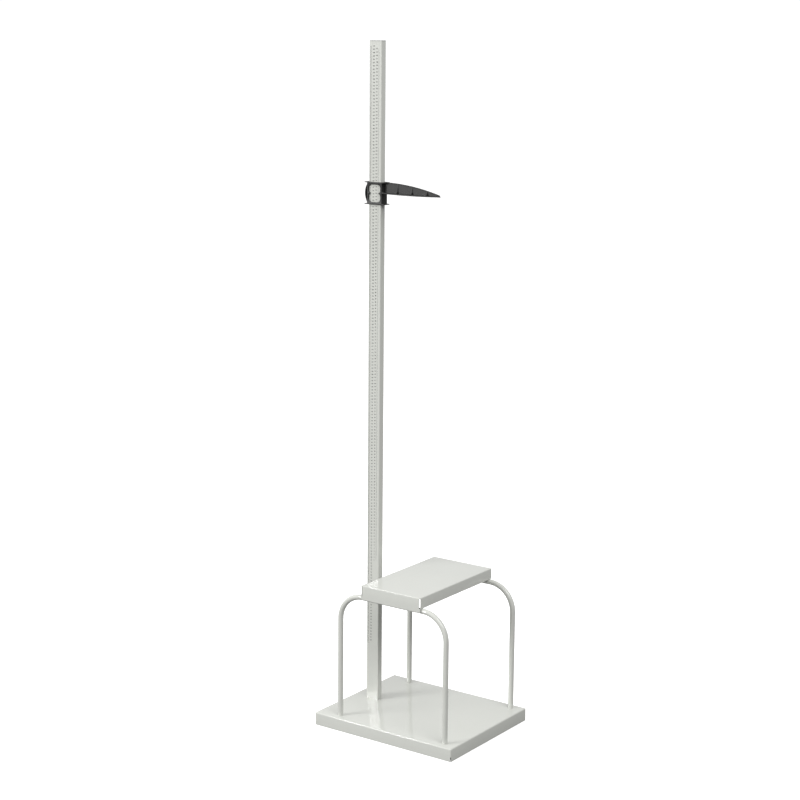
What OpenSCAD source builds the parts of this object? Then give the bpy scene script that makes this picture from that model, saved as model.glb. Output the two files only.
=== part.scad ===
// Floor-standing height measuring stand (stadiometer) with a folding seat.
//
// A folded steel platform carries a rectangular column with a printed scale,
// a slider with a headboard that runs on the column, and two bent tube frames.
// A sheet-metal seat spans the two frames. It is clipped to the tube of the near
// frame and folds up, over and down between that frame's legs.
//
// Frame: +Z up, origin at the middle of the platform on the floor.
// +X runs from the near frame to the far frame, and the column stands at +Y.
// The scale faces -X, and the headboard points to -Y.

/* [Platform] */
// Size of the platform from the near to the far edge
platform_x = 436; // [420:1:480]
// Size of the platform from front to back
platform_y = 525; // [510:1:600]
// Height of the platform's top above the floor
platform_h = 42; // [38:1:60]
// Thickness of the folded platform sheet
platform_t = 2; // [1.5:0.5:3]

/* [Column] */
// Width of the column's scale face
column_y = 46; // [44:1:60]
// Depth of the column
column_x = 22; // [20:1:30]
// Height of the column above the platform, with its cap
column_h = 2117; // [1800:1:2300]
// Distance from the platform's middle to the column's middle
column_pos = 187.5; // [180:0.5:195]
// Highest reading printed on the scale
scale_top = 2100; // [1700:10:2100]
// Lowest reading printed on the scale
scale_bottom = 190; // [100:10:400]

/* [Tube frames] */
// Outer diameter of the frame tube
tube_d = 17; // [16:0.5:20]
// Distance from the platform's middle to each tube frame
frame_x = 190; // [180:1:200]
// Distance between the two legs of one frame
leg_spacing = 402; // [396:1:420]
// Offset of both frames from the platform's middle
frame_pos = -20; // [-30:1:-10]
// Bend radius at the tube's centre line
bend_r = 85; // [70:1:86]
// Height of the tube's centre line along the top of a frame
frame_h = 450; // [400:1:480]

/* [Seat] */
// Length of the seat from its hinged edge to its free edge
seat_x = 403; // [400:1:410]
// Width of the seat
seat_y = 225; // [180:1:228]
// Height of the seat's top above the floor
seat_top = 493.5; // [485:0.5:500]
// Thickness of the seat sheet
seat_t = 1.5; // [1:0.5:2]
// Depth of the seat's hinged end flange
end_flange = 45.5; // [40:0.5:46]

/* [Slider] */
// Reading of the slider at rest, above the platform
slider_reading = 1652; // [470:1:2100]
// Height of the slider
slider_h = 70; // [60:1:90]
// Width of the slider
slider_y = 56; // [54:1:64]
// Depth of the slider
slider_x = 30; // [29:1:36]
// Reach of the headboard from the slider's side
arm_reach = 210; // [150:1:250]
// Greatest half-width of the head plate
arm_half = 27; // [20:1:40]

/* [Hidden] */
$fn = 64;

slack = 0.05;          // clearance of a close fit, such as a bolt in its hole
gap = 0.3;             // clearance between pieces that move past each other
wide_hole = 0.3;       // a through hole's radius beyond its bolt's
snug_hole = 0.2;       // the same where the hole also locates the bolt
over = 1;              // cutters run this far past the faces they cut
floor_gap = 1;         // the platform's flanges end this far above the floor
paint = [0.82, 0.83, 0.81];
zinc = [0.7, 0.71, 0.72];
black = [0.13, 0.13, 0.13];
felt = [0.3, 0.3, 0.28];
rubber = [0.08, 0.08, 0.08];

// Platform
plate_z = platform_h - platform_t;          // underside of the platform's top
channel_t = 2;
channel_w = 40;
channel_h = 20;
channel_web = plate_z - channel_t;          // underside of the channels' webs
channel_len = platform_y - 2 * platform_t - 4;
column_channel_w = 64;
column_channel_len = 2 * frame_x - channel_w - 2 * slack;
foot_d = 26;
foot_edge = 2;                              // between a foot and the channel's end
foot_y = channel_len / 2 - foot_d / 2 - foot_edge;
foot_recess_d = 14;
foot_recess_h = 12;

// Column
column_wall = 1.5;
column_r = 2;
cap_t = 2;
column_z0 = platform_h;
column_z1 = platform_h + column_h - cap_t;
column_block_h = 32;
column_bolt_gap = 24;
column_bolt_len = 26;
column_hollow_x = column_x - 2 * column_wall;
column_hollow_y = column_y - 2 * column_wall;
cap_plug_h = 18;
cap_plug_wall = 2;
strip_w = 42;
strip_t = 0.3;
strip_margin = 6;                           // strip beyond its first and last line

// Tube frames
tube_r = tube_d / 2;
tube_wall = 1.5;
leg_y = leg_spacing / 2;
leg_z1 = frame_h - bend_r;
plug_h = 25;
leg_bolt_len = 24;

// Fasteners: shank radius, head radius, head height
m6 = [3, 5.5, 4];
m8 = [4, 7, 5.3];
m4 = [2, 3.6, 3.2];
m3 = [1.5, 2.8, 1.2];
washer_t = 1.6;
m6_washer_r = 6.5;
m8_washer_r = 8;

// Seat
end_reach = 4.5;                            // hinged end flange beyond the near tube
seat_x0 = -frame_x - tube_r - end_reach;    // outer face of the hinged end flange
seat_x1 = seat_x0 + seat_x;
seat_y0 = frame_pos - seat_y / 2;
seat_y1 = frame_pos + seat_y / 2;
seat_under = seat_top - seat_t;
flange_z = frame_h + tube_r + gap;          // lower edge of the side flanges
end_z = seat_top - end_flange;              // lower edge of the hinged end flange
end_cut = 5;                                // corner relief along the end flange
side_cut = 3;                               // corner relief along the side flanges
tab_h = 2.5;                                // side tabs reach this far above the side flanges' edge
tab_z = flange_z + tab_h;
rib_y = 40;
rib_w = 22;
rib_h = 12;
rib_t = 1.2;
rib_len = 2 * (frame_x - 25);
clip_y = 80;                                // clips and cradles, from the seat's middle
clip_w = 24;
clip_r = tube_r + slack;
clip_wall = 2.3;
clip_mouth = 80;                            // half angle of the clip's open mouth
clip_foot = 26;
clip_foot_t = 4;
stud_inset = 2;                             // studs sit this far inwards from a foot's middle
stud_x = frame_x - tube_r - clip_wall - clip_foot / 2 - stud_inset;
cradle_lip = 3;                             // a cradle reaches this far below the tube's top
cradle_wall = 1.2;
stud_len = 12;
stud_gap = 12;

// Slider, drawn about the pointer level and the column's axis
pointer_z = platform_h + slider_reading;
cavity_front = column_x / 2 + 0.8;
cavity_back = column_x / 2 + 2.2;
cavity_y = column_y / 2 + 2.4;
rim_t = 2.8;
rim_out = 9.5;
rim_fillet = 2;
window_y = 45;
window_z = 54;
window_r = 11;
tip_len = 7;                                // pointer tips, pointing into the window
tip_half = 4.6;
bow_t = 2.4;
bow_rise = 9.2;
bow_half = slider_h / 2 - rim_t - rim_fillet - snug_hole;
bow_inset = 2;                              // between the bow's edges and the slider's faces
bow_r = (bow_half * bow_half + bow_rise * bow_rise) / (2 * bow_rise);
pad_t = 2;
pad_x = 16;
pad_h = 14;
pad_z = 26;                                 // middle of a pad above or below the pointer level
spring_t = 0.5;
spring_y = 20;
spring_z = 48;
brake_t = 1.3;
brake_y = 28;
brake_z = 30;
arm_s0 = column_pos - slider_y / 2;         // the arm starts on the slider's side face
plate_t = 3;
web_t = 3;
web_h = slider_h / 2;
web_drop = 30;
web_r = (arm_reach * arm_reach + web_drop * web_drop) / (2 * web_drop);
web_sink = 0.5;                             // the web ends this far inside its bead
bead_t = 2.5;
bead_w = 5;
arm_root = 14;                              // half-width of the head plate at the slider
arm_tip = 3.5;                              // radius of the head plate's tip
arm_wide = 100;                             // distance of the widest place from the slider
arm_ribs = [52, 107, 163];
arm_rib_t = 2.2;
rib_foot = 11;                              // half-width of a rib's foot on the plate
rib_foot_h = 7;                             // height at which the foot has run out
rib_neck = 5;                               // half-width of a rib just above its foot
rib_edge = 2;                               // plate that stays free beside a foot
arm_boss = 12;
arm_boss_w = 9;
arm_boss_h = 26;
arm_screw_x = 3;                            // the screws sit behind the web
arm_screw_z = [6.5, 14];
screw_hole = arm_boss - 2;                  // depth of the screws' holes in the boss
fine = 256;                                 // facets of the long arcs

// ---------------------------------------------------------------- helpers

module rounded_rect(w, h, r) {
  square([w - 2 * r, h], center = true);
  square([w, h - 2 * r], center = true);
  for (sx = [-1, 1], sy = [-1, 1])
    translate([sx * (w / 2 - r), sy * (h / 2 - r)]) circle(r);
}

// Drawn in a plane that is then stood up to face along X: (first, second) become (Y, Z)
module along_x(x0, x1) {
  translate([x0, 0, 0]) rotate([90, 0, 90]) linear_extrude(x1 - x0) children();
}

// Drawn in a plane that is then stood up to face along Y: (first, second) become (X, Z)
module along_y(y0, y1) {
  translate([0, y1, 0]) rotate([90, 0, 0]) linear_extrude(y1 - y0) children();
}

module at_legs() {
  for (sx = [-1, 1], sy = [-1, 1]) translate([sx * frame_x, frame_pos + sy * leg_y, 0]) children();
}

module at_feet() {
  for (sx = [-1, 1], sy = [-1, 1]) translate([sx * frame_x, sy * foot_y, 0]) children();
}

module at_column_bolts() {
  for (s = [-1, 1]) translate([0, column_pos + s * column_bolt_gap / 2, 0]) children();
}

// The places of the studs that hold the clips (near) and the cradles (far)
module at_studs() {
  for (sx = [-1, 1], sy = [-1, 1], k = [0, 1])
    translate([sx * stud_x, frame_pos + sy * clip_y + (k - 0.5) * stud_gap, 0]) children();
}

// Bolt pointing up, its head's lower face at z = 0
module bolt(size, len) {
  cylinder(r = size[1], h = size[2], $fn = 6);
  translate([0, 0, size[2]]) cylinder(r = size[0] - slack, h = len);
}

module washer(r_in, r_out) {
  difference() {
    cylinder(r = r_out, h = washer_t);
    translate([0, 0, -over]) cylinder(r = r_in + snug_hole, h = washer_t + 2 * over);
  }
}

// Cutter of a hole up through a wall that starts at height z
module hole_through(r, z, t) {
  translate([0, 0, z - over]) cylinder(r = r, h = t + 2 * over);
}

// Channel open downwards, along Y, its web's top on z = 0
module channel_y(len, w, h, t) {
  difference() {
    translate([-w / 2, -len / 2, -h]) cube([w, len, h]);
    translate([-w / 2 + t, -len / 2 - over, -h - over]) cube([w - 2 * t, len + 2 * over, h - t + over]);
  }
}

// ---------------------------------------------------------------- platform

module base_tray() {
  color(paint) difference() {
    translate([-platform_x / 2, -platform_y / 2, floor_gap])
      cube([platform_x, platform_y, platform_h - floor_gap]);
    translate([-platform_x / 2 + platform_t, -platform_y / 2 + platform_t, floor_gap - over])
      cube([platform_x - 2 * platform_t, platform_y - 2 * platform_t, plate_z - floor_gap + over]);
    at_legs() hole_through(m6[0] + wide_hole, plate_z, platform_t);
    at_column_bolts() hole_through(m8[0] + wide_hole, plate_z, platform_t);
  }
}

module frame_channel(side) {
  color(zinc) difference() {
    translate([side * frame_x, 0, plate_z]) channel_y(channel_len, channel_w, channel_h, channel_t);
    at_legs() hole_through(m6[0] + wide_hole, channel_web, channel_t);
    at_feet() hole_through(m6[0], channel_web, channel_t);
  }
}

module near_channel() { frame_channel(-1); }

module far_channel() { frame_channel(1); }

module column_channel() {
  color(zinc) difference() {
    translate([0, column_pos, plate_z]) rotate([0, 0, 90])
      channel_y(column_channel_len, column_channel_w, channel_h, channel_t);
    at_column_bolts() hole_through(m8[0] + wide_hole, channel_web, channel_t);
  }
}

module rubber_feet() {
  color(rubber) at_feet() difference() {
    cylinder(d = foot_d, h = channel_web);
    translate([0, 0, -over]) cylinder(d = foot_recess_d, h = foot_recess_h + over);
    cylinder(r = m6[0] + snug_hole, h = channel_web + over);
  }
}

module foot_screws() {
  color(zinc) at_feet() translate([0, 0, foot_recess_h - m6[2]]) {
    cylinder(r = m6[1], h = m6[2]);
    translate([0, 0, m6[2]]) cylinder(r = m6[0] - slack, h = plate_z - foot_recess_h - snug_hole);
  }
}

// ---------------------------------------------------------------- column

module column_tube() {
  color(paint) translate([0, column_pos, column_z0]) linear_extrude(column_z1 - column_z0)
    difference() {
      rounded_rect(column_x, column_y, column_r);
      square([column_hollow_x, column_hollow_y], center = true);
    }
}

module column_foot() {
  color(zinc) difference() {
    translate([0, column_pos, column_z0]) linear_extrude(column_block_h)
      square([column_hollow_x - 2 * slack, column_hollow_y - 2 * slack], center = true);
    at_column_bolts() hole_through(m8[0], column_z0, column_block_h);
  }
}

module column_bolts() {
  color(zinc) at_column_bolts() translate([0, 0, channel_web - washer_t - m8[2]]) bolt(m8, column_bolt_len);
}

module column_washers() {
  color(zinc) at_column_bolts() translate([0, 0, channel_web - washer_t]) washer(m8[0], m8_washer_r);
}

module column_cap() {
  plug_x = column_hollow_x - 2 * slack;
  plug_y = column_hollow_y - 2 * slack;
  color(paint) translate([0, column_pos, 0]) {
    translate([0, 0, column_z1]) linear_extrude(cap_t) rounded_rect(column_x, column_y, column_r);
    translate([0, 0, column_z1 - cap_plug_h]) linear_extrude(cap_plug_h) difference() {
      square([plug_x, plug_y], center = true);
      square([plug_x - 2 * cap_plug_wall, plug_y - 2 * cap_plug_wall], center = true);
    }
  }
}

module scale_strip() {
  z0 = platform_h + scale_bottom - strip_margin;
  z1 = platform_h + scale_top + strip_margin;
  color(paint) translate([-column_x / 2 - strip_t, column_pos - strip_w / 2, z0])
    cube([strip_t, strip_w, z1 - z0]);
}

// ---------------------------------------------------------------- tube frames

module ring() {
  difference() {
    circle(tube_r);
    circle(tube_r - tube_wall);
  }
}

// One bend, from the top of a leg to the end of the top run
module bend(side) {
  translate([0, frame_pos + side * (leg_y - bend_r), leg_z1])
    mirror([0, side < 0 ? 1 : 0, 0])
      rotate([90, 0, 90]) rotate_extrude(angle = 90) translate([bend_r, 0]) ring();
}

module tube_frame(side) {
  run = leg_spacing - 2 * bend_r;
  color(paint) translate([side * frame_x, 0, 0]) {
    for (s = [-1, 1]) {
      translate([0, frame_pos + s * leg_y, column_z0]) linear_extrude(leg_z1 - column_z0) ring();
      bend(s);
    }
    translate([0, frame_pos + run / 2, frame_h]) rotate([90, 0, 0]) linear_extrude(run) ring();
  }
}

module near_frame() { tube_frame(-1); }

module far_frame() { tube_frame(1); }

module leg_plugs() {
  color(zinc) at_legs() translate([0, 0, column_z0]) difference() {
    cylinder(r = tube_r - tube_wall - slack, h = plug_h);
    hole_through(m6[0], 0, plug_h);
  }
}

module leg_bolts() {
  color(zinc) at_legs() translate([0, 0, channel_web - washer_t - m6[2]]) bolt(m6, leg_bolt_len);
}

module leg_washers() {
  color(zinc) at_legs() translate([0, 0, channel_web - washer_t]) washer(m6[0], m6_washer_r);
}

// ---------------------------------------------------------------- seat

module seat_tray() {
  side_x0 = seat_x0 + side_cut;
  color(paint) {
    translate([seat_x0, seat_y0, seat_under]) cube([seat_x, seat_y, seat_t]);
    // Side flanges and the free end's flange
    for (y = [seat_y0, seat_y1 - seat_t])
      translate([side_x0, y, flange_z]) cube([seat_x1 - side_x0, seat_t, seat_under - flange_z]);
    translate([seat_x1 - seat_t, seat_y0, flange_z]) cube([seat_t, seat_y, seat_under - flange_z]);
    // Hinged end flange, cut back at its upper corners, with a small tab at each lower corner
    translate([seat_x0, seat_y0 + end_cut, end_z])
      cube([seat_t, seat_y - 2 * end_cut, seat_under - end_z]);
    translate([seat_x0, seat_y0, end_z]) cube([seat_t, seat_y, tab_z - end_z]);
    for (y = [seat_y0, seat_y1 - seat_t])
      translate([seat_x0, y, end_z]) cube([side_cut, seat_t, tab_z - end_z]);
  }
}

module seat_ribs() {
  color(zinc) for (s = [-1, 1]) translate([0, frame_pos + s * rib_y, seat_under]) rotate([0, 0, 90])
    channel_y(rib_len, rib_w, rib_h, rib_t);
}

// Foot that a clip or a cradle is bolted up by; it runs towards the seat's middle
module mount_foot(side) {
  x_in = frame_x - tube_r - clip_wall - clip_foot;
  translate([side > 0 ? x_in : -frame_x, -clip_w / 2, seat_under - clip_foot_t])
    cube([frame_x - x_in, clip_w, clip_foot_t]);
}

// The two places along the seat of a clip or a cradle
module at_supports() {
  for (s = [-1, 1]) translate([0, frame_pos + s * clip_y, 0]) children();
}

module stud_holes() {
  at_studs() hole_through(m4[0] + snug_hole, seat_under - clip_foot_t, clip_foot_t);
}

module hinge_clips() {
  r_out = clip_r + clip_wall;
  mouth_h = 2 * r_out;
  mouth_half = mouth_h * tan(clip_mouth);
  color(black) difference() {
    at_supports() {
      mount_foot(-1);
      along_y(-clip_w / 2, clip_w / 2) {
        translate([-frame_x, frame_h]) circle(r_out);
        translate([-frame_x - r_out, frame_h]) square([2 * r_out, seat_under - frame_h]);
      }
    }
    at_supports() along_y(-clip_w / 2 - over, clip_w / 2 + over) translate([-frame_x, frame_h]) {
      circle(clip_r);
      polygon([[0, 0], [mouth_half, -mouth_h], [-mouth_half, -mouth_h]]);
    }
    stud_holes();
  }
}

module rest_cradles() {
  cradle_x0 = frame_x - tube_r - cradle_wall;
  cradle_x1 = seat_x1 - seat_t - gap;
  cradle_z = frame_h + tube_r - cradle_lip;
  color(rubber) difference() {
    at_supports() {
      mount_foot(1);
      along_y(-clip_w / 2, clip_w / 2) translate([cradle_x0, cradle_z])
        square([cradle_x1 - cradle_x0, seat_under - cradle_z]);
    }
    at_supports() along_y(-clip_w / 2 - over, clip_w / 2 + over)
      translate([frame_x, frame_h]) circle(tube_r + gap);
    stud_holes();
  }
}

module seat_studs() {
  color(zinc) at_studs() translate([0, 0, seat_under - stud_len]) cylinder(r = m4[0] - slack, h = stud_len);
}

module seat_nuts() {
  color(zinc) at_studs() translate([0, 0, seat_under - clip_foot_t - m4[2]]) difference() {
    cylinder(r = m4[1], h = m4[2], $fn = 6);
    hole_through(m4[0], 0, m4[2]);
  }
}

// ---------------------------------------------------------------- slider

// Moves the slider's own drawing, made about the pointer level, to its place
module at_slider() { translate([0, column_pos, pointer_z]) children(); }

// Half of a rim's profile, thin at its outer end, with a fillet to the side wall
module rim_profile() {
  difference() {
    translate([slider_y / 2 - over, slider_h / 2 - rim_t - rim_fillet])
      square([rim_out + over, rim_t + rim_fillet]);
    translate([slider_y / 2 + rim_fillet, slider_h / 2 - rim_t - rim_fillet]) circle(rim_fillet);
    translate([slider_y / 2 + rim_fillet, slider_h / 2 - rim_t - 2 * rim_fillet])
      square([rim_out, 2 * rim_fillet]);
  }
}

module window_profile() {
  difference() {
    rounded_rect(window_y, window_z, window_r);
    for (s = [-1, 1])
      polygon([[s * (window_y / 2 - tip_len), 0], [s * (window_y / 2 + over), tip_half],
               [s * (window_y / 2 + over), -tip_half]]);
  }
}

// Places of the arm's screws on the outside of the slider's wall, pointing out
module at_arm_screws() {
  for (z = arm_screw_z) translate([arm_screw_x, -slider_y / 2, z]) rotate([90, 0, 0]) children();
}

module slider_body() {
  color(black) at_slider() difference() {
    along_x(-slider_x / 2, slider_x / 2) {
      square([slider_y, slider_h], center = true);
      for (sy = [0, 1], sz = [0, 1]) mirror([sy, 0]) mirror([0, sz]) rim_profile();
    }
    translate([-cavity_front, -cavity_y, -slider_h / 2 - over])
      cube([cavity_front + cavity_back, 2 * cavity_y, slider_h + 2 * over]);
    along_x(-slider_x / 2 - over, 0) window_profile();
    at_arm_screws() hole_through(m3[0] + snug_hole, cavity_y - slider_y / 2, slider_y / 2 - cavity_y);
  }
}

module grip_bow() {
  centre = slider_y / 2 + bow_rise - bow_r;
  color(black) at_slider() along_x(-slider_x / 2 + bow_inset, slider_x / 2 - bow_inset) intersection() {
    difference() {
      translate([centre, 0]) circle(bow_r, $fn = fine);
      translate([centre, 0]) circle(bow_r - bow_t, $fn = fine);
    }
    translate([slider_y / 2 + slack, -bow_half]) square([bow_rise + over, 2 * bow_half]);
  }
}

// Felt pads in the slider's corners that run on the column's narrow sides
module guide_pads() {
  color(felt) at_slider() for (sy = [-1, 1], sz = [-1, 1])
    translate([-pad_x / 2, sy > 0 ? cavity_y - pad_t : -cavity_y, sz * pad_z - pad_h / 2])
      cube([pad_x, pad_t, pad_h]);
}

module brake_spring() {
  color(zinc) at_slider() translate([cavity_back - spring_t - slack, -spring_y / 2, -spring_z / 2])
    cube([spring_t, spring_y, spring_z]);
}

module brake_pad() {
  color(felt) at_slider() translate([column_x / 2 + gap, -brake_y / 2, -brake_z / 2])
    cube([brake_t, brake_y, brake_z]);
}

// Radius of an arc that falls by `fall` over `len` from its level end
function arc_radius(len, fall) = (len * len + fall * fall) / (2 * fall);

// Outline of the head plate: first is X, second is the distance from the slider
module head_outline() {
  r_root = arc_radius(arm_wide, arm_half - arm_root);
  r_tip = arc_radius(arm_reach - arm_tip - arm_wide, arm_half - arm_tip);
  intersection() {
    intersection() {
      translate([arm_half - r_root, arm_wide]) circle(r_root, $fn = fine);
      translate([r_root - arm_half, arm_wide]) circle(r_root, $fn = fine);
    }
    translate([-arm_half, 0]) square([2 * arm_half, arm_wide]);
  }
  intersection() {
    intersection() {
      translate([arm_half - r_tip, arm_wide]) circle(r_tip, $fn = fine);
      translate([r_tip - arm_half, arm_wide]) circle(r_tip, $fn = fine);
    }
    translate([-arm_half, arm_wide]) square([2 * arm_half, arm_reach - arm_tip - arm_wide]);
  }
  translate([0, arm_reach - arm_tip]) circle(arm_tip);
}

// Height of the web's top above the pointer level at a distance from the slider
function web_top(s) = web_h - (web_r - sqrt(web_r * web_r - s * s));

// Half-width of the head plate at a distance from the slider
function head_half(s) = let (
  r = s < arm_wide ? arc_radius(arm_wide, arm_half - arm_root)
                   : arc_radius(arm_reach - arm_tip - arm_wide, arm_half - arm_tip),
  d = s - arm_wide) sqrt(r * r - d * d) - (r - arm_half);

// Area under the web's top, first is the distance from the slider, second is Z
module web_profile(drop, z0, s1) {
  intersection() {
    translate([0, web_h - web_r]) circle(web_r - drop, $fn = fine);
    translate([0, z0]) square([s1, web_h - z0]);
  }
}

// Upright rib across the web at a distance from the slider, with a foot that spreads on the plate
module rib_profile(s) {
  top = web_top(s) - bead_t;
  foot = min(rib_foot, head_half(s) - rib_edge);
  neck_z = min(plate_t + rib_foot_h, top);
  polygon([[-foot, plate_t], [foot, plate_t], [rib_neck, neck_z], [bead_w / 2, top],
           [-bead_w / 2, top], [-rib_neck, neck_z]]);
}

// Places a drawing made with its distance from the slider along Y onto the arm
module on_arm() { translate([0, arm_s0, pointer_z]) mirror([0, 1, 0]) children(); }

module headboard_arm() {
  web_end = arm_reach - arm_tip;
  color(black) on_arm() difference() {
    union() {
      linear_extrude(plate_t) head_outline();
      along_x(-web_t / 2, web_t / 2) web_profile(web_sink, plate_t, web_end);
      along_x(-bead_w / 2, bead_w / 2) difference() {
        web_profile(0, plate_t, web_end);
        translate([0, web_h - web_r]) circle(web_r - bead_t, $fn = fine);
      }
      // Boss that the screws from inside the slider hold
      translate([-web_t / 2, 0, plate_t]) cube([arm_boss_w, arm_boss, arm_boss_h - plate_t]);
      for (s = arm_ribs) along_y(s - arm_rib_t / 2, s + arm_rib_t / 2) rib_profile(s);
    }
    for (z = arm_screw_z) translate([arm_screw_x, -over, z]) rotate([-90, 0, 0])
      cylinder(r = m3[0], h = screw_hole + over);
    // The arm passes under the slider's upper rim
    translate([-slider_x, -over, web_h - rim_t - rim_fillet - slack])
      cube([2 * slider_x, rim_out + over + gap, rim_t + rim_fillet + over]);
  }
}

module arm_screws() {
  wall = slider_y / 2 - cavity_y;
  color(zinc) at_slider() at_arm_screws() translate([0, 0, -wall]) {
    translate([0, 0, -m3[2]]) cylinder(r = m3[1], h = m3[2]);
    cylinder(r = m3[0] - slack, h = wall + screw_hole - 2);
  }
}

// ---------------------------------------------------------------- all nodes

base_tray();
near_channel();
far_channel();
column_channel();
rubber_feet();
foot_screws();
column_tube();
column_foot();
column_bolts();
column_washers();
column_cap();
scale_strip();
near_frame();
far_frame();
leg_plugs();
leg_bolts();
leg_washers();
seat_tray();
seat_ribs();
hinge_clips();
rest_cradles();
seat_studs();
seat_nuts();
slider_body();
grip_bow();
guide_pads();
brake_spring();
brake_pad();
headboard_arm();
arm_screws();
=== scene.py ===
# %% [markdown]
# # Height measuring stand with a folding seat
#
# This lesson builds the looks of a floor-standing height measuring stand round a fixed CAD frame. The
# frame holds every size and every joint. Here each visible piece gets its folded edges, its print, its
# moulded plastic and its paint. Lengths are in metres, so small ones are written as a number times MM.

import math

import bmesh
import bpy
from mathutils import Matrix, Vector


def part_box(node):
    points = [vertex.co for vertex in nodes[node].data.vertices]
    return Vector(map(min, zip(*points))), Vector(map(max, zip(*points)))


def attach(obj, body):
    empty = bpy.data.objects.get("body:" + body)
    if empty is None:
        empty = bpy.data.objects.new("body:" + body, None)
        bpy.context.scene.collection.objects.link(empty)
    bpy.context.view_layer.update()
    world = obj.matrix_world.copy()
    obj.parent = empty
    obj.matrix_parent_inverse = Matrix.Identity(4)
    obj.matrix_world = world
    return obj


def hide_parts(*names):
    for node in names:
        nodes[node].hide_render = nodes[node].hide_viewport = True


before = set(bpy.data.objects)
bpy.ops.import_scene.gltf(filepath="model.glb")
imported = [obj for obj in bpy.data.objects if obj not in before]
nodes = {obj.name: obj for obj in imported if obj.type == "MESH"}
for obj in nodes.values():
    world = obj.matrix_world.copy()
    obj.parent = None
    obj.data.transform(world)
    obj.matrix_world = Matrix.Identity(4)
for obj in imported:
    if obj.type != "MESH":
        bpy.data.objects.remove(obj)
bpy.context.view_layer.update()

MM = 0.001
TINY = 0.00001

# %% [markdown]
# ## View
#
# The stand is over two metres tall and very slim. A long lens from some way off, a little above its
# middle, keeps the column straight. The camera is built from three plain turns: heading, tilt and roll.

# %% Camera
CAMERA_PLACE = (-4.6466, -3.2051, 2.2116)
CAMERA_HEADING = 54.63
CAMERA_TILT = 11.52
CAMERA_ROLL = 0.48
CAMERA_LENS = 83.25


def make_camera():
    data = bpy.data.cameras.new("camera")
    made = bpy.data.objects.new("camera", data)
    bpy.context.collection.objects.link(made)
    data.lens = CAMERA_LENS
    made.location = CAMERA_PLACE
    heading = Matrix.Rotation(math.radians(-CAMERA_HEADING), 4, "Z")
    tilt = Matrix.Rotation(math.radians(90 - CAMERA_TILT), 4, "X")
    roll = Matrix.Rotation(math.radians(CAMERA_ROLL), 4, "Z")
    made.rotation_euler = (heading @ tilt @ roll).to_euler()
    bpy.context.scene.camera = made
    return made


camera = make_camera()
print("camera at", tuple(round(value, 2) for value in camera.location))

# %% [markdown]
# ## Light
#
# Light grey gloss paint shows its shape by what it mirrors. A key softbox stands far off at the back
# left: it puts a bright line on every folded edge, and the seat mirrors it again off the column. A fill
# softbox high at the front lifts the near sides, and no flat side mirrors it. A dim sky does the rest.
# The camera itself sees plain white.

# %% Sky
SKY_FRONT = 0.3
SKY_BACK = 0.72
SKY_RISE = 0.35
SKY_SEEN = 1.05


def make_sky():
    world = bpy.data.worlds.new("studio")
    bpy.context.scene.world = world
    world.use_nodes = True
    tree = world.node_tree
    tree.nodes.clear()
    output = tree.nodes.new("ShaderNodeOutputWorld")
    seen = tree.nodes.new("ShaderNodeBackground")
    lighting = tree.nodes.new("ShaderNodeBackground")
    choose = tree.nodes.new("ShaderNodeMixShader")
    ray = tree.nodes.new("ShaderNodeLightPath")
    direction = tree.nodes.new("ShaderNodeTexCoord")
    split = tree.nodes.new("ShaderNodeSeparateXYZ")
    across = tree.nodes.new("ShaderNodeMapRange")
    upward = tree.nodes.new("ShaderNodeMapRange")
    total = tree.nodes.new("ShaderNodeMath")
    across.inputs["From Min"].default_value = -1
    across.inputs["To Min"].default_value = SKY_FRONT
    across.inputs["To Max"].default_value = SKY_BACK
    upward.inputs["To Max"].default_value = SKY_RISE
    total.operation = "ADD"
    tree.links.new(direction.outputs["Generated"], split.inputs[0])
    tree.links.new(split.outputs["Y"], across.inputs["Value"])
    tree.links.new(split.outputs["Z"], upward.inputs["Value"])
    tree.links.new(across.outputs[0], total.inputs[0])
    tree.links.new(upward.outputs[0], total.inputs[1])
    tree.links.new(total.outputs[0], lighting.inputs["Strength"])
    tree.links.new(ray.outputs["Is Camera Ray"], choose.inputs[0])
    tree.links.new(lighting.outputs[0], choose.inputs[1])
    tree.links.new(seen.outputs[0], choose.inputs[2])
    tree.links.new(choose.outputs[0], output.inputs["Surface"])
    for background in (seen, lighting):
        background.inputs["Color"].default_value = (1, 1, 1, 1)
    seen.inputs["Strength"].default_value = SKY_SEEN
    return world


sky = make_sky()
bpy.context.scene.view_settings.view_transform = "Standard"
print("sky nodes:", len(sky.node_tree.nodes))

# %% Softboxes and floor
LIT_POINT = Vector((0, 0, 0.9))
KEY_PLACE = (-8.0, 5.65, 4.2)
KEY_SIZE = (3.4, 3.6)
KEY_POWER = 660
FILL_PLACE = (-2.9, -5.6, 7.1)
FILL_SIZE = (5.0, 5.0)
FILL_POWER = 440
FLOOR_SIZE = 60


def make_softbox(name, place, size, power):
    data = bpy.data.lights.new(name, "AREA")
    made = bpy.data.objects.new(name, data)
    bpy.context.collection.objects.link(made)
    data.shape = "RECTANGLE"
    data.size, data.size_y = size
    data.energy = power
    made.location = place
    made.rotation_euler = (LIT_POINT - made.location).to_track_quat("-Z", "Y").to_euler()
    return made


key = make_softbox("key", KEY_PLACE, KEY_SIZE, KEY_POWER)
fill = make_softbox("fill", FILL_PLACE, FILL_SIZE, FILL_POWER)
bpy.ops.object.select_all(action="DESELECT")
bpy.ops.mesh.primitive_plane_add(size=FLOOR_SIZE)
floor = bpy.context.object
floor.name = "floor"
print("softbox powers:", key.data.energy, fill.data.energy)

# %% [markdown]
# ## Finishes
#
# Every finish is a Principled shader fed by a few noise patterns on Object coordinates. All pieces sit at
# the origin, so a pattern keeps its real size and runs on from one piece to the next. Values that are the
# same all over a surface are set on the shader itself.

# %% Material helpers
PATTERN_LOW = 0.3
PATTERN_HIGH = 0.7


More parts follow.
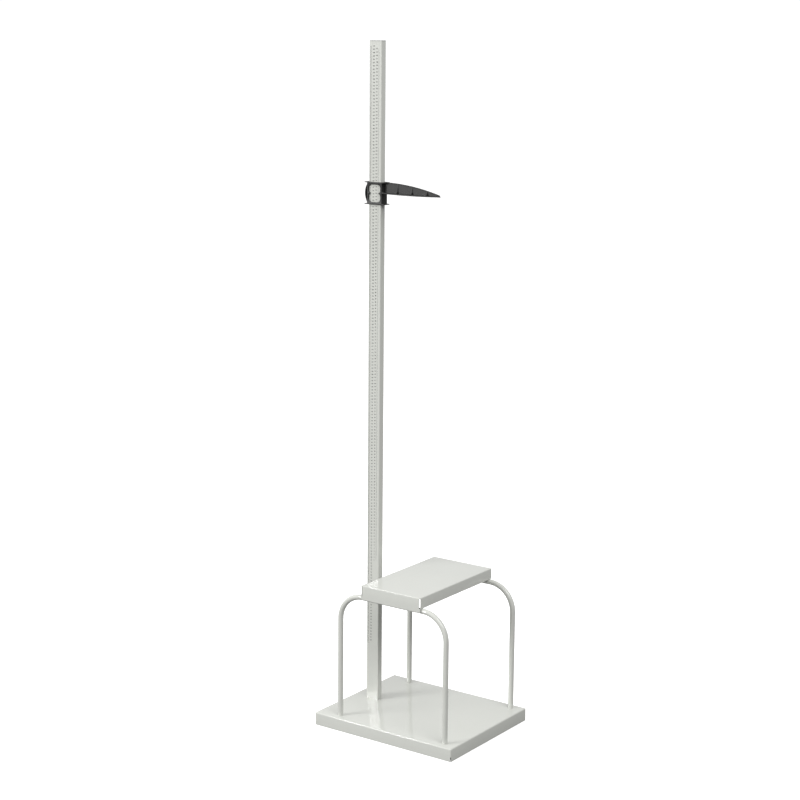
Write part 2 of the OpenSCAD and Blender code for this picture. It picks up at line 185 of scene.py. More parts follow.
def start_finish(name, **values):
    """A material whose shader has the given constant values, and a dictionary of its nodes."""
    finish = bpy.data.materials.new(name)
    finish.use_nodes = True
    shader = finish.node_tree.nodes["Principled BSDF"]
    for socket, value in values.items():
        shader.inputs[socket.replace("_", " ")].default_value = value
    place = finish.node_tree.nodes.new("ShaderNodeTexCoord")
    return finish, shader, place.outputs["Object"]


def add_noise(finish, place, scale, detail=2.0):
    """A cloud pattern; scale is the number of blobs in a metre."""
    noise = finish.node_tree.nodes.new("ShaderNodeTexNoise")
    noise.inputs["Scale"].default_value = scale
    noise.inputs["Detail"].default_value = detail
    finish.node_tree.links.new(place, noise.inputs["Vector"])
    return noise.outputs["Fac"]


def add_cells(finish, place, scale):
    """A pattern of flat crystal cells, each with its own random value."""
    cells = finish.node_tree.nodes.new("ShaderNodeTexVoronoi")
    cells.inputs["Scale"].default_value = scale
    finish.node_tree.links.new(place, cells.inputs["Vector"])
    split = finish.node_tree.nodes.new("ShaderNodeSeparateColor")
    finish.node_tree.links.new(cells.outputs["Color"], split.inputs[0])
    return split.outputs["Red"]


def tint(finish, shader, pattern, dark, light):
    """Runs the base colour from dark to light with the pattern."""
    ramp = finish.node_tree.nodes.new("ShaderNodeValToRGB")
    ramp.color_ramp.elements[0].position = PATTERN_LOW
    ramp.color_ramp.elements[1].position = PATTERN_HIGH
    ramp.color_ramp.elements[0].color = (*dark, 1)
    ramp.color_ramp.elements[1].color = (*light, 1)
    finish.node_tree.links.new(pattern, ramp.inputs[0])
    finish.node_tree.links.new(ramp.outputs[0], shader.inputs["Base Color"])


def gloss(finish, shader, pattern, low, high):
    """Runs the roughness from low to high with the pattern."""
    spread = finish.node_tree.nodes.new("ShaderNodeMapRange")
    spread.inputs["From Min"].default_value = PATTERN_LOW
    spread.inputs["From Max"].default_value = PATTERN_HIGH
    spread.inputs["To Min"].default_value = low
    spread.inputs["To Max"].default_value = high
    finish.node_tree.links.new(pattern, spread.inputs["Value"])
    finish.node_tree.links.new(spread.outputs[0], shader.inputs["Roughness"])


def relief(finish, shader, pattern, strength, depth):
    """A fine surface texture of the given depth."""
    bump = finish.node_tree.nodes.new("ShaderNodeBump")
    bump.inputs["Strength"].default_value = strength
    bump.inputs["Distance"].default_value = depth
    finish.node_tree.links.new(pattern, bump.inputs["Height"])
    finish.node_tree.links.new(bump.outputs[0], shader.inputs["Normal"])


# %% [markdown]
# ### Powder coat
#
# The steel is powder coated in a warm light grey with a high gloss. A powder coat flows out while it
# bakes and leaves a very shallow orange peel, about two millimetres from crest to crest, so mirrored
# edges waver a little.

# %% Paint
def make_paint():
    finish, shader, place = start_finish("light_grey_coat")
    pattern = add_noise(finish, place, scale=5, detail=3)
    tint(finish, shader, pattern, dark=(0.578, 0.588, 0.552), light=(0.596, 0.606, 0.569))
    gloss(finish, shader, add_noise(finish, place, scale=300, detail=2), low=0.05, high=0.07)
    relief(finish, shader, add_noise(finish, place, scale=420, detail=1), strength=0.02, depth=0.01 * MM)
    return finish


paint = make_paint()
print(paint.name, len(paint.node_tree.nodes), "nodes")

# %% [markdown]
# ### Zinc, plastics, rubber and felt
#
# Zinc plate shows pale crystals. The slider is moulded in a black plastic with a fine spark-eroded grain.
# The feet are rubber, and the slider's pads are felt, whose loose fibres catch light at a low angle.

# %% Small finishes
def make_zinc():
    finish, shader, place = start_finish("zinc_plate", Metallic=1.0)
    pattern = add_cells(finish, place, scale=160)
    tint(finish, shader, pattern, dark=(0.52, 0.54, 0.56), light=(0.68, 0.69, 0.7))
    gloss(finish, shader, add_noise(finish, place, scale=120, detail=3), low=0.28, high=0.44)
    relief(finish, shader, add_noise(finish, place, scale=900, detail=2), strength=0.1, depth=0.02 * MM)
    return finish


def make_black_plastic():
    finish, shader, place = start_finish("moulded_black")
    pattern = add_noise(finish, place, scale=60, detail=3)
    tint(finish, shader, pattern, dark=(0.012, 0.0124, 0.0117), light=(0.018, 0.0184, 0.0176))
    gloss(finish, shader, add_noise(finish, place, scale=200, detail=3), low=0.45, high=0.53)
    relief(finish, shader, add_noise(finish, place, scale=2200, detail=1), strength=0.2, depth=0.03 * MM)
    return finish


def make_grey_plastic():
    finish, shader, place = start_finish("moulded_grey")
    pattern = add_noise(finish, place, scale=60, detail=3)
    tint(finish, shader, pattern, dark=(0.3, 0.305, 0.29), light=(0.33, 0.335, 0.32))
    gloss(finish, shader, add_noise(finish, place, scale=200, detail=3), low=0.4, high=0.5)
    relief(finish, shader, add_noise(finish, place, scale=2200, detail=1), strength=0.2, depth=0.03 * MM)
    return finish


def make_rubber():
    finish, shader, place = start_finish("dark_rubber")
    pattern = add_noise(finish, place, scale=300, detail=4)
    tint(finish, shader, pattern, dark=(0.018, 0.018, 0.018), light=(0.034, 0.033, 0.032))
    gloss(finish, shader, add_noise(finish, place, scale=90, detail=3), low=0.62, high=0.8)
    relief(finish, shader, add_noise(finish, place, scale=1500, detail=2), strength=0.25, depth=0.05 * MM)
    return finish


def make_felt():
    finish, shader, place = start_finish("grey_felt", Roughness=1.0, Sheen_Weight=0.5)
    pattern = add_noise(finish, place, scale=1200, detail=5)
    tint(finish, shader, pattern, dark=(0.035, 0.034, 0.03), light=(0.12, 0.115, 0.1))
    relief(finish, shader, add_noise(finish, place, scale=2500, detail=5), strength=0.8, depth=0.2 * MM)
    return finish


zinc = make_zinc()
black_plastic = make_black_plastic()
grey_plastic = make_grey_plastic()
rubber = make_rubber()
felt = make_felt()
print("small finishes:", zinc.name, black_plastic.name, grey_plastic.name, rubber.name, felt.name)

# %% [markdown]
# ### Scale film and ink
#
# The scale is a printed plastic film, as light and nearly as glossy as the paint. The ink lies on it as a
# thin matt layer whose density varies a little.

# %% Film, ink and floor
FLOOR_PALE = (0.9, 0.9, 0.9)
FLOOR_QUIET = (0.16, 0.16, 0.16)
FLOOR_GLOW = 0.45


def make_film():
    finish, shader, place = start_finish("printed_film")
    pattern = add_noise(finish, place, scale=12, detail=3)
    tint(finish, shader, pattern, dark=(0.586, 0.596, 0.558), light=(0.602, 0.612, 0.574))
    gloss(finish, shader, add_noise(finish, place, scale=300, detail=2), low=0.07, high=0.1)
    relief(finish, shader, add_noise(finish, place, scale=700, detail=1), strength=0.02, depth=0.005 * MM)
    return finish


def make_ink():
    finish, shader, place = start_finish("print_ink")
    pattern = add_noise(finish, place, scale=900, detail=3)
    tint(finish, shader, pattern, dark=(0.028, 0.028, 0.028), light=(0.056, 0.056, 0.055))
    gloss(finish, shader, add_noise(finish, place, scale=200, detail=2), low=0.5, high=0.6)
    return finish


def make_floor_finish():
    """Pale to the eye, like a sheet lit from below, but a quiet grey to everything that mirrors it."""
    finish = bpy.data.materials.new("floor_sheet")
    finish.use_nodes = True
    tree = finish.node_tree
    tree.nodes.clear()
    output = tree.nodes.new("ShaderNodeOutputMaterial")
    choose = tree.nodes.new("ShaderNodeMixShader")
    ray = tree.nodes.new("ShaderNodeLightPath")
    pale = tree.nodes.new("ShaderNodeBsdfDiffuse")
    quiet = tree.nodes.new("ShaderNodeBsdfDiffuse")
    glow = tree.nodes.new("ShaderNodeEmission")
    both = tree.nodes.new("ShaderNodeAddShader")
    pale.inputs["Color"].default_value = (*FLOOR_PALE, 1)
    quiet.inputs["Color"].default_value = (*FLOOR_QUIET, 1)
    glow.inputs["Strength"].default_value = FLOOR_GLOW
    tree.links.new(pale.outputs[0], both.inputs[0])
    tree.links.new(glow.outputs[0], both.inputs[1])
    tree.links.new(ray.outputs["Is Camera Ray"], choose.inputs[0])
    tree.links.new(quiet.outputs[0], choose.inputs[1])
    tree.links.new(both.outputs[0], choose.inputs[2])
    tree.links.new(choose.outputs[0], output.inputs["Surface"])
    return finish


film = make_film()
ink = make_ink()
floor.data.materials.append(make_floor_finish())
print("print:", film.name, ink.name)

# %% [markdown]
# ## Modelling helpers
#
# Each piece is modelled as by hand: a primitive at its size and place, edit mode, a choice of faces or
# edges, an operator. With no mouse the choice is made in code, by where a face or an edge lies.

# %% Objects
def deselect():
    if bpy.context.mode != "OBJECT":
        bpy.ops.object.mode_set(mode="OBJECT")
    bpy.ops.object.select_all(action="DESELECT")


def activate(piece):
    deselect()
    piece.select_set(True)
    bpy.context.view_layer.objects.active = piece


def settle(piece, move=(0, 0, 0), turn=(0, 0, 0)):
    """Moves and turns a piece, then puts the change into its mesh, so its object is back at the origin."""
    activate(piece)
    piece.location = Vector(piece.location) + Vector(move)
    piece.rotation_euler = turn
    bpy.ops.object.transform_apply(location=True, rotation=True, scale=True)
    return piece


def block(name, low, high):
    """A box from its lowest to its highest corner, ready to be shaped."""
    deselect()
    middle_point = (Vector(low) + Vector(high)) / 2
    bpy.ops.mesh.primitive_cube_add(size=1, location=middle_point)
    made = bpy.context.object
    made.name = name
    made.scale = Vector(high) - Vector(low)
    return settle(made)


def sheet_plane(name, low, high):
    """A flat sheet at the height of the highest corner."""
    deselect()
    centre = (Vector(low) + Vector(high)) / 2
    centre.z = high[2]
    bpy.ops.mesh.primitive_plane_add(size=1, location=centre)
    made = bpy.context.object
    made.name = name
    made.scale = Vector(high) - Vector(low)
    made.scale.z = 1
    return settle(made)


# %% Choosing and shaping in edit mode
FACING = 0.9


def edit(piece):
    activate(piece)
    bpy.ops.object.mode_set(mode="EDIT")


def leave_edit():
    bpy.ops.object.mode_set(mode="OBJECT")


def middle(part):
    corners = [part] if isinstance(part, bmesh.types.BMVert) else list(part.verts)
    return sum((corner.co for corner in corners), Vector()) / len(corners)


def pick(kind, test):
    """Selects only the verts, edges or faces that pass the test, and says how many there are."""
    bpy.ops.mesh.select_mode(type=kind)
    bpy.ops.mesh.select_all(action="DESELECT")
    mesh = bpy.context.edit_object.data
    shape = bmesh.from_edit_mesh(mesh)
    parts = {"VERT": shape.verts, "EDGE": shape.edges, "FACE": shape.faces}[kind]
    chosen = [part for part in parts if test(part)]
    for part in chosen:
        part.select_set(True)
    shape.select_flush_mode()
    bmesh.update_edit_mesh(mesh)
    return len(chosen)


def bisect_at(axis, place):
    """Adds a line of edges all round, where the axis has the given value."""
    bpy.ops.mesh.select_all(action="SELECT")
    point = Vector((0, 0, 0))
    normal = Vector((0, 0, 0))
    point[axis] = place
    normal[axis] = 1
    bpy.ops.mesh.bisect(plane_co=point, plane_no=normal)


def extrude(move):
    bpy.ops.mesh.extrude_region_move(TRANSFORM_OT_translate={"value": move})


def extrude_edges(move):
    bpy.ops.mesh.extrude_edges_move(TRANSFORM_OT_translate={"value": move})


def looks(face, axis, way):
    """True for a face that looks along the axis; way is 1 or -1."""
    return face.normal[axis] * way > FACING


def along_axis(edge, axis):
    """True for an edge that runs along the axis (0, 1 or 2)."""
    step = edge.verts[1].co - edge.verts[0].co
    return abs(abs(step[axis]) - step.length) < TINY


# %% Modifiers and finishing
SMOOTH_ANGLE = 30
EDGE_ANGLE = 40


def apply_modifier(piece, kind, **settings):
    activate(piece)
    modifier = piece.modifiers.new(kind.lower(), kind)
    for name, value in settings.items():
        setattr(modifier, name, value)
    bpy.ops.object.modifier_apply(modifier=modifier.name)


def round_edges(piece, width, segments=2, angle=EDGE_ANGLE):
    limit = math.radians(angle)
    apply_modifier(piece, "BEVEL", width=width, segments=segments, limit_method="ANGLE", angle_limit=limit)


def cut(piece, cutter):
    apply_modifier(piece, "BOOLEAN", operation="DIFFERENCE", object=cutter, solver="EXACT")
    bpy.data.objects.remove(cutter)


def weld(piece, other):
    apply_modifier(piece, "BOOLEAN", operation="UNION", object=other, solver="EXACT")
    bpy.data.objects.remove(other)


def open_edges(piece):
    """Number of edges that don't have exactly two faces; a closed piece has none."""
    shape = bmesh.new()
    shape.from_mesh(piece.data)
    count = sum(1 for edge in shape.edges if len(edge.link_faces) != 2)
    volume = shape.calc_volume(signed=True)
    shape.free()
    return count, volume


def dress(piece, body, slot_name, finish, *stands_for):
    """Smooths a finished piece, gives it its material, and hangs it on its body."""
    activate(piece)
    bpy.ops.object.shade_smooth_by_angle(angle=math.radians(SMOOTH_ANGLE))
    piece.data.materials.clear()
    piece.data.materials.append(finish)
    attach(piece, body)
    if stands_for:
        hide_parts(*stands_for)
    loose, volume = open_edges(piece)
    volume_cm3 = round(volume / (10 * MM) ** 3, 2)
    print(piece.name, "faces", len(piece.data.polygons), "open edges", loose, "cm3", volume_cm3)
    return piece


# %% [markdown]
# ## Platform
#
# The platform is one steel sheet, folded down on all four sides. The bends are round, the corners are
# welded and ground, and the weld stops short of the floor, which leaves a small dark notch at each
# corner. A box would be quicker, but its walls would have no thickness and its edges no bend. So the
# sheet is drawn flat, its border is extruded down, the bends are bevelled, and the steel gets its
# thickness last.

# %% Folded platform
PLATFORM_SHEET = 2 * MM
PLATFORM_BEND = 4.2 * MM
BEND_SEGMENTS = 5
BEND_ANGLE = 50
CORNER_NOTCH = (2.6 * MM, 12 * MM, 14 * MM)

platform_low, platform_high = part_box("base_tray")


def fold_down(name, low, high):
    """A sheet with its border folded down to the lowest corner's height."""
    made = sheet_plane(name, low, high)
    edit(made)
    pick("EDGE", lambda edge: edge.is_boundary)
    extrude_edges((0, 0, low[2] - high[2]))
    leave_edit()
    return made


def thicken(piece, sheet, bend):
    """Rounds the bends of a bare sheet and then gives it thickness on its inside."""
    edit(piece)
    bpy.ops.mesh.select_all(action="SELECT")
    bpy.ops.mesh.normals_make_consistent(inside=False)
    leave_edit()
    top = max(piece.data.polygons, key=lambda face: face.center.z)
    if top.normal.z < 0:
        piece.data.flip_normals()
    round_edges(piece, bend, BEND_SEGMENTS, BEND_ANGLE)
    apply_modifier(piece, "SOLIDIFY", thickness=sheet, offset=-1, use_even_offset=True)


def corner_blades(low, high):
    """Upright blades across the four corners, which cut the open foot of each seam."""
    width, depth, height = CORNER_NOTCH
    blade = block("blade", (-width / 2, -depth / 2, -height), (width / 2, depth / 2, height))
    blades = []
    for x in (low.x, high.x):
        for y in (low.y, high.y):
            copy = blade.copy()
            copy.data = blade.data.copy()
            bpy.context.collection.objects.link(copy)
            blades.append(settle(copy, (x, y, low.z), (0, 0, math.copysign(math.pi / 4, -x * y))))
    bpy.data.objects.remove(blade)
    return blades


platform = fold_down("platform", platform_low, platform_high)
thicken(platform, PLATFORM_SHEET, PLATFORM_BEND)
for blade in corner_blades(platform_low, platform_high):
    cut(platform, blade)
dress(platform, "stand", "powder_coat", paint, "base_tray")

# %% [markdown]
# ## Seat
#
# The seat is a thinner sheet with a deep flange at the hinged end and lower ones on the other three
# sides. The hinged end's flange isn't welded to its neighbours: both are cut back at the corner, so
# daylight shows between them, and a small tab at the foot of the flange turns the corner. Free edges are
# extruded one flange at a time, which keeps those gaps open.

# %% Folded seat
SEAT_SHEET = 1.5 * MM
SEAT_BEND = 3.5 * MM
END_RELIEF = 5 * MM
SIDE_RELIEF = 3 * MM
TAB_HEIGHT = 12 * MM
TUBE_GAP = 0.3 * MM

seat_low, seat_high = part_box("seat_tray")
side_flange_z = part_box("near_frame")[1].z + TUBE_GAP


def on_plane(part, axis, place):
    return all(abs(corner.co[axis] - place) < TINY for corner in part.verts)


def seat_blank():
    """The seat's flat top, with its edges divided where the corner reliefs begin."""
    made = sheet_plane("seat", seat_low, seat_high)
    edit(made)
    bisect_at(0, seat_low.x + SIDE_RELIEF)
    bisect_at(1, seat_low.y + END_RELIEF)
    bisect_at(1, seat_high.y - END_RELIEF)
    leave_edit()
    return made


def fold_sides(piece):
    """Folds down both long sides and the free end as one run of flange."""
    edit(piece)
    start = seat_low.x + SIDE_RELIEF

    def border(edge):
        long_side = on_plane(edge, 1, seat_low.y) or on_plane(edge, 1, seat_high.y)
        return edge.is_boundary and (on_plane(edge, 0, seat_high.x) or long_side and middle(edge).x > start)

    pick("EDGE", border)
    extrude_edges((0, 0, side_flange_z - seat_high.z))
    leave_edit()


def fold_end(piece):
    """Folds down the hinged end, then brings the tabs round its lower corners."""
    edit(piece)
    centre = (seat_low.y + seat_high.y) / 2
    reach = seat_high.y - END_RELIEF - centre
    pick("EDGE", lambda edge: on_plane(edge, 0, seat_low.x) and abs(middle(edge).y - centre) < reach)
    extrude_edges((0, 0, seat_low.z + TAB_HEIGHT - seat_high.z))
    extrude_edges((0, 0, -TAB_HEIGHT))
    for side, y in ((-1, seat_low.y), (1, seat_high.y)):
        edge_y = y - side * END_RELIEF

        def tab_edge(edge):
            at_corner = on_plane(edge, 1, edge_y) and on_plane(edge, 0, seat_low.x)
            return at_corner and middle(edge).z < seat_low.z + TAB_HEIGHT

        pick("EDGE", tab_edge)
        extrude_edges((0, side * END_RELIEF, 0))
        extrude_edges((SIDE_RELIEF, 0, 0))
    leave_edit()


seat = seat_blank()
fold_sides(seat)
fold_end(seat)
thicken(seat, SEAT_SHEET, SEAT_BEND)
dress(seat, "seat", "powder_coat", paint, "seat_tray")

# %% [markdown]
# ## Column cap
#
# A plastic plug closes the column. Its lid is as wide as the tube, with a soft upper edge, and a narrow
# neck under the lid leaves a fine shadow line. The lid is a box whose upright edges are bevelled first
# and whose underside is inset and extruded down for the neck and the plug.

# %% Cap
CAP_LID = 2 * MM
CAP_CORNER = 2 * MM
CAP_EDGE = 0.6 * MM
CAP_NECK = 0.9 * MM
CAP_SHADOW = 0.35 * MM

cap_low, cap_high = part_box("column_cap")


def make_cap():
    made = block("cap", (cap_low.x, cap_low.y, cap_high.z - CAP_LID + CAP_SHADOW), cap_high)
    edit(made)
    pick("EDGE", lambda edge: along_axis(edge, 2))
    bpy.ops.mesh.bevel(offset=CAP_CORNER, segments=5)
    pick("FACE", lambda face: looks(face, 2, 1))
    bpy.ops.mesh.bevel(offset=CAP_EDGE, segments=3)
    pick("FACE", lambda face: looks(face, 2, -1))
    bpy.ops.mesh.inset(thickness=CAP_NECK)
    extrude((0, 0, -CAP_SHADOW))
    bpy.ops.mesh.inset(thickness=CAP_NECK)
    extrude((0, 0, cap_low.z - cap_high.z + CAP_LID))
    leave_edit()
    return made


dress(make_cap(), "stand", "grey_plastic", grey_plastic, "column_cap")

# %% [markdown]
# ## Slider
#
# The slider is a moulded black sleeve. It is the same left and right and above and below, so one quarter
# is modelled and mirrored twice. Thin rims flare out at the upper and lower ends. The window is two
# rounded lobes, and where they meet a pointer reaches in from each side to the reading level.

# %% Quarter of the slider
WALL_FRONT = 3.2 * MM
WALL_BACK = 1.8 * MM
WALL_SIDE = 2.6 * MM
SLIDER_EDGE = 0.55 * MM
SLIDER_EDGE_ANGLE = 35
SLIDER_HALF_Y = 28 * MM
RIM_HEIGHT = 2.8 * MM
RIM_STEPS = ((1.6, 0.0, 1.0), (2.7, 0.05, 0.96), (2.7, 0.1, 0.94), (2.5, 0.15, 0.9))

slider_low, slider_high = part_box("slider_body")
slider_centre = (slider_low + slider_high) / 2
slider_half = (slider_high - slider_low) / 2


def flare_rim(piece):
    """Extrudes the rim outwards in short steps, thinner and a little higher each time."""
    edit(piece)
    rim_z = slider_half.z - RIM_HEIGHT
    bisect_at(2, rim_z)
    pick("FACE", lambda face: looks(face, 1, 1) and middle(face).z > rim_z)
    height = slider_half.z - RIM_HEIGHT / 2
    place = SLIDER_HALF_Y
    for out, up, thinner in RIM_STEPS:
        extrude((0, out * MM, up * MM))
        place += out * MM
        height += up * MM
        bpy.ops.transform.resize(value=(1, 1, thinner), center_override=(0, place, height))
    leave_edit()


def quarter_sleeve():
    made = block("slider", (-slider_half.x, 0, 0), (slider_half.x, SLIDER_HALF_Y, slider_half.z))
    flare_rim(made)
    inside = block(
        "inside",
        (WALL_FRONT - slider_half.x, -SLIDER_HALF_Y, -slider_half.z),
        (slider_half.x - WALL_BACK, SLIDER_HALF_Y - WALL_SIDE, 2 * slider_half.z),
    )
    cut(made, inside)
    return made


print("slider mm:", [round(size / MM, 1) for size in slider_high - slider_low])

# %% Window of the slider
WINDOW_HALF_Y = 22.5 * MM
WINDOW_HALF_Z = 27 * MM
WINDOW_CORNER = 11 * MM
POINTER_LENGTH = 7.5 * MM
POINTER_HALF = 5 * MM
LOBE_CORNER = 4.5 * MM


def window_cutter():
    front = -2 * slider_half.x
    made = block("window", (front, -WINDOW_HALF_Y, -WINDOW_HALF_Z), (0, WINDOW_HALF_Y, WINDOW_HALF_Z))
    edit(made)
    pick("EDGE", lambda edge: along_axis(edge, 0))
    bpy.ops.mesh.bevel(offset=WINDOW_CORNER, segments=8)
    for height in (-POINTER_HALF, 0, POINTER_HALF):
        bisect_at(2, height)
    pick("VERT", lambda vert: abs(vert.co.z) < TINY)
    narrow = (WINDOW_HALF_Y - POINTER_LENGTH) / WINDOW_HALF_Y
    bpy.ops.transform.resize(value=(1, narrow, 1), center_override=(0, 0, 0))
    pick("EDGE", lambda edge: along_axis(edge, 0) and abs(abs(middle(edge).z) - POINTER_HALF) < TINY)
    bpy.ops.mesh.bevel(offset=LOBE_CORNER, segments=4)
    leave_edit()
    return made


def make_slider():
    made = quarter_sleeve()
    cut(made, window_cutter())
    edit(made)
    pick("FACE", lambda face: on_plane(face, 1, 0) or on_plane(face, 2, 0))
    bpy.ops.mesh.delete(type="FACE")
    leave_edit()
    apply_modifier(made, "MIRROR", use_axis=(False, True, True), use_clip=True, merge_threshold=TINY)
    round_edges(made, SLIDER_EDGE, 2, SLIDER_EDGE_ANGLE)
    return settle(made, slider_centre)


dress(make_slider(), "slider", "black_plastic", black_plastic, "slider_body")

# %% [markdown]
# ## Grip bow
#
# A springy bow on the slider's far side is squeezed with the thumb to free the slider. It is a flat
# section swept through an arc, which is what spin does. The section's corners are bevelled first, so the
# bow has soft edges all along.

# %% Bow
BOW_THICK = 2.4 * MM
BOW_CORNER = 0.7 * MM
BOW_STEPS = 28

bow_low, bow_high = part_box("grip_bow")


def make_bow():
    rise = bow_high.y - slider_centre.y - SLIDER_HALF_Y
    half = (bow_high.z - bow_low.z) / 2
    radius = (half * half + rise * rise) / (2 * rise)
    reach = math.asin(half / radius)
    width = bow_high.x - bow_low.x
    deselect()
    place = (0, radius - BOW_THICK / 2, 0)
    bpy.ops.mesh.primitive_plane_add(size=1, location=place)
    made = bpy.context.object
    made.name = "bow"
    made.scale = (width, BOW_THICK, 1)
    settle(made)
    edit(made)
    bpy.ops.mesh.select_all(action="SELECT")
    bpy.ops.mesh.bevel(offset=BOW_CORNER, segments=3, affect="VERTICES")
    bpy.ops.mesh.select_all(action="SELECT")
    bpy.ops.mesh.spin(steps=BOW_STEPS, angle=2 * reach, center=(0, 0, 0), axis=(1, 0, 0))
    if pick("EDGE", lambda edge: edge.is_boundary):
        bpy.ops.mesh.edge_face_add()
    bpy.ops.mesh.select_all(action="SELECT")
    bpy.ops.mesh.normals_make_consistent(inside=False)
    leave_edit()
    return made, radius, rise, reach


bow, bow_radius, bow_rise, bow_reach = make_bow()
first_end = sum((vert.co.z for vert in bow.data.vertices)) / len(bow.data.vertices)
settle(bow, turn=(math.copysign(bow_reach, -first_end), 0, 0))
settle(bow, (0, slider_centre.y + SLIDER_HALF_Y + bow_rise - bow_radius, slider_centre.z))
dress(bow, "slider", "black_plastic", black_plastic, "grip_bow")

# %% [markdown]
# ## Headboard arm
#
# The arm that rests on the head is one moulding: a flat leaf-shaped plate, an upright web with a rounded
# bead along its falling top, and slim ribs that tie the two together. Each long part is a section that is
# extruded station by station and scaled to its width there. Their edges are rounded, and then they are
# welded into one.

# %% Stations along the arm
PLATE_THICK = 3 * MM
PLATE_ROOT = 14 * MM
PLATE_WIDE = 27 * MM
PLATE_WIDE_AT = 100 * MM
PLATE_TIP = 3.5 * MM
TIP_SHARES = (0.35, 0.65, 0.88)
LAST_SHARE = 0.98
WEB_THICK = 3 * MM
WEB_TOP = 35 * MM
WEB_DROP = 30 * MM
BEAD_HEIGHT = 2.6 * MM
BEAD_WIDE = 5 * MM
SINK = 0.5 * MM
EXTRA_START = 0.1 * MM
NOTCH = 10 * MM
NOTCH_TOP = 30 * MM
NOTCH_SLOPE = 0.1 * MM
BEAD_START = 0.8 * MM
ARM_STATIONS = 24

arm_low, arm_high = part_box("headboard_arm")
arm_reach = arm_high.y - arm_low.y
plate_end = arm_reach - PLATE_TIP


def arc_radius(length, rise):
    return (length * length + rise * rise) / (2 * rise)


def plate_half(distance):
    """Half-width of the plate: two arcs that meet at the widest place, and a round tip."""
    if distance > plate_end:
        beyond = min(distance - plate_end, LAST_SHARE * PLATE_TIP)
        return math.sqrt(PLATE_TIP**2 - beyond**2)
    if distance < PLATE_WIDE_AT:
        radius = arc_radius(PLATE_WIDE_AT, PLATE_WIDE - PLATE_ROOT)
    else:
        radius = arc_radius(plate_end - PLATE_WIDE_AT, PLATE_WIDE - PLATE_TIP)
    return math.sqrt(radius**2 - (distance - PLATE_WIDE_AT) ** 2) - (radius - PLATE_WIDE)


def web_top(distance):
    radius = arc_radius(arm_reach, WEB_DROP)
    return WEB_TOP - (radius - math.sqrt(radius**2 - distance**2))


def stations(start, end, count):
    return [start + (end - start) * step / count for step in range(count + 1)]


print("arm reach mm:", round(arm_reach / MM), "web height at the tip:", round(web_top(plate_end) / MM, 1))


# %% Sweeping a section
def sweep(name, sections):
    """A solid through sections (distance, half width, lowest z, highest z), swept away from the slider."""
    distance, half, low, high = sections[0]
    deselect()
    bpy.ops.mesh.primitive_plane_add(size=1, location=(0, -distance, (low + high) / 2))
    made = bpy.context.object
    made.name = name
    made.scale = (2 * half, high - low, 1)
    settle(made, turn=(math.pi / 2, 0, 0))
    edit(made)
    bpy.ops.mesh.select_all(action="SELECT")
    for next_distance, next_half, next_low, next_high in sections[1:]:
        rise = (next_low + next_high - low - high) / 2
        extrude((0, distance - next_distance, rise))
        centre = (0, -next_distance, (next_low + next_high) / 2)
        size = (next_half / half, 1, (next_high - next_low) / (high - low))
        bpy.ops.transform.resize(value=size, center_override=centre)
        distance, half, low, high = next_distance, next_half, next_low, next_high
    if pick("EDGE", lambda edge: edge.is_boundary):
        bpy.ops.mesh.edge_face_add()
    bpy.ops.mesh.select_all(action="SELECT")
    bpy.ops.mesh.normals_make_consistent(inside=False)
    leave_edit()
    return made


# %% Plate, web and bead of the arm
ARM_EDGE_ANGLE = 50
PLATE_EDGE = 0.7 * MM
BEAD_EDGE = 1.1 * MM


def make_plate():
    tip = [plate_end + PLATE_TIP * share for share in TIP_SHARES]
    along = stations(0, plate_end, ARM_STATIONS) + tip
    made = sweep("headboard", [(s, plate_half(s), 0, PLATE_THICK) for s in along])
    round_edges(made, PLATE_EDGE, 2, ARM_EDGE_ANGLE)
    return made


def make_web():
    near = [(start, WEB_THICK / 2, PLATE_THICK - SINK, NOTCH_TOP) for start in (EXTRA_START * 2, NOTCH)]
    along = stations(NOTCH + NOTCH_SLOPE, plate_end, ARM_STATIONS)
    return sweep("web", near + [(s, WEB_THICK / 2, PLATE_THICK - SINK, web_top(s) - SINK) for s in along])


def make_bead():
    along = stations(NOTCH + BEAD_START, plate_end + SINK, ARM_STATIONS)
    made = sweep("bead", [(s, BEAD_WIDE / 2, web_top(s) - BEAD_HEIGHT, web_top(s)) for s in along])
    round_edges(made, BEAD_EDGE, 3, ARM_EDGE_ANGLE)
    return made


# %% Ribs, boss and shelf of the arm
RIB_PLACES = (52 * MM, 107 * MM, 163 * MM)
RIB_THICK = 2.2 * MM
RIB_FOOT = 11 * MM
RIB_FOOT_HEIGHT = 7 * MM
RIB_NECK = 5 * MM
RIB_EDGE = 2 * MM
RIB_BEND_SHARE = 0.4
RIB_HOLLOW = 1 * MM
RIB_ROUND = 0.3 * MM
BOSS = (-1.5 * MM, 7.5 * MM, 12 * MM, 26 * MM)
BOSS_EDGE = 1.2 * MM
SHELF = (15 * MM, 7 * MM, 0.8 * MM, 4.4 * MM)
SHELF_ROUND = 1.4 * MM


def make_rib(distance):
    """A slim upright rib whose foot spreads on the plate in a hollow curve."""
    foot = min(RIB_FOOT, plate_half(distance) - RIB_EDGE)
    top = web_top(distance) - BEAD_HEIGHT / 2
    near, far = -distance - RIB_THICK / 2, -distance + RIB_THICK / 2
    made = block("rib", (-foot, near, PLATE_THICK - SINK), (foot, far, top))
    neck_z = PLATE_THICK + RIB_FOOT_HEIGHT
    bend_z = PLATE_THICK + RIB_BEND_SHARE * RIB_FOOT_HEIGHT
    widths = ((bend_z, (RIB_NECK + foot) / 2 - RIB_HOLLOW), (neck_z, RIB_NECK), (top, BEAD_WIDE / 2))
    edit(made)
    for height, half in widths:
        if height < top:
            bisect_at(2, height)
        pick("VERT", lambda vert: abs(vert.co.z - height) < TINY)
        bpy.ops.transform.resize(value=(half / foot, 1, 1), center_override=(0, -distance, height))
    leave_edit()
    round_edges(made, RIB_ROUND, 2, ARM_EDGE_ANGLE)
    return made


